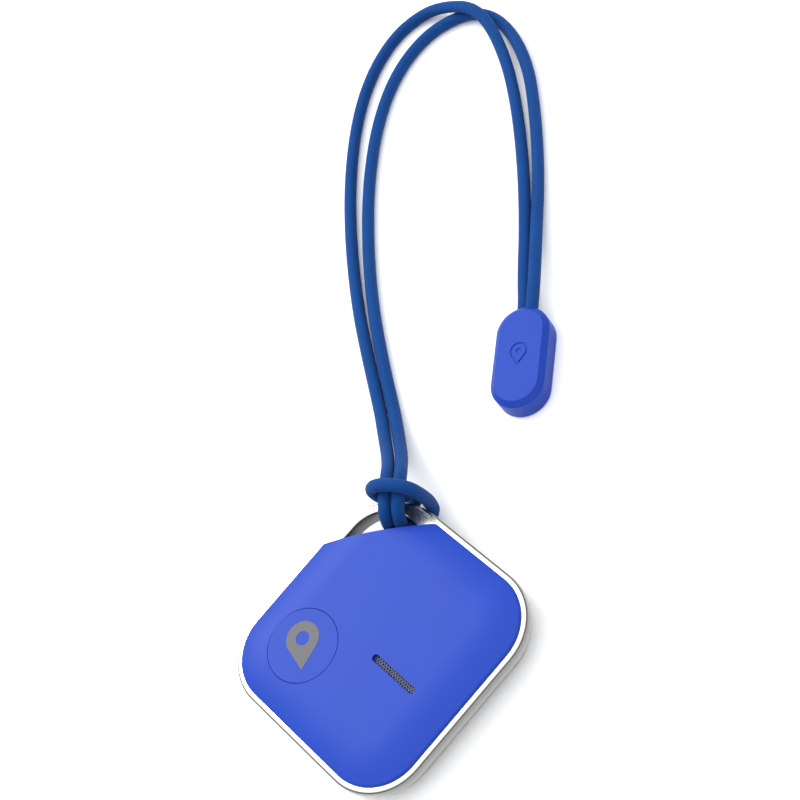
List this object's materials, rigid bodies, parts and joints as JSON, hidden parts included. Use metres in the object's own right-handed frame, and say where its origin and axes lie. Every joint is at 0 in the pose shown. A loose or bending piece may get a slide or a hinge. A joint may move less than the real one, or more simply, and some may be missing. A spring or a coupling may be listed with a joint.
{
  "type": "bluetooth tracker tag",
  "caption": "Thin square tracker tag with a press button, a sound slot, a metal corner loop, a twist-off battery door and a looped cord ending in a long pull.",
  "frame": {"origin": "centre of the square case, on its flat back", "axes": "+Z out of the front face; +Y from the case centre to the lanyard corner; +X to the right of it, seen from the front"},
  "size_m": [0.0501, 0.1417, 0.0124],
  "materials": {
    "cover": "soft-touch matte blue",
    "frame": "polished",
    "back": "fine matte silver-grey",
    "print": "flat grey ink",
    "mesh": "dark blue-grey, perforated",
    "rubber": "matte black",
    "board": "green solder mask",
    "chip": "black moulding",
    "steel": "nickel plated",
    "brass": "plain",
    "ceramic": "silvered ceramic",
    "holder": "black",
    "cord": "fine woven braid",
    "pull": "satin blue"
  },
  "bodies": {
    "case": {"front_cover": "cover", "button_gasket": "rubber", "switch_body": "chip", "speaker_mesh": "mesh", "sounder_foam_ring": "rubber", "sounder_plate": "brass", "sounder_ceramic": "ceramic", "loop_frame": "frame", "back_cover": "back", "circuit_board": "board", "radio_chip": "chip", "crystal": "steel", "chip_antenna": "ceramic", "chip_passives": "ceramic", "coin_cell": "steel", "cell_holder": "holder", "positive_contacts": "steel", "negative_contact": "steel", "lanyard_cord": "cord", "pull_front_shell": "pull", "pull_back_shell": "pull", "cord_crimp": "steel"},
    "button": {"button_cap": "cover", "button_print": "print"},
    "switch_plunger": {"switch_stem": "holder"},
    "battery_door_body": {"battery_door": "back", "door_seal": "rubber"}
  },
  "joints": [
    {"name": "button_press", "type": "slide", "parent": "case", "child": "button", "axis": [0, 0, -1], "range_m": [0, 0.00025], "stiffness_N_per_m": 2000},
    {"name": "switch_press", "type": "slide", "parent": "case", "child": "switch_plunger", "axis": [0, 0, -1], "range_m": [0, 0.00025]},
    {"name": "battery_door_twist", "type": "hinge", "parent": "case", "child": "battery_door_body", "pos_m": [0, -0.002, 0], "axis": [0, 0, 1], "range_deg": [-40, 0]}
  ],
  "couplings": [
    {"joint": "switch_press", "follows": "button_press", "ratio": 1}
  ]
}
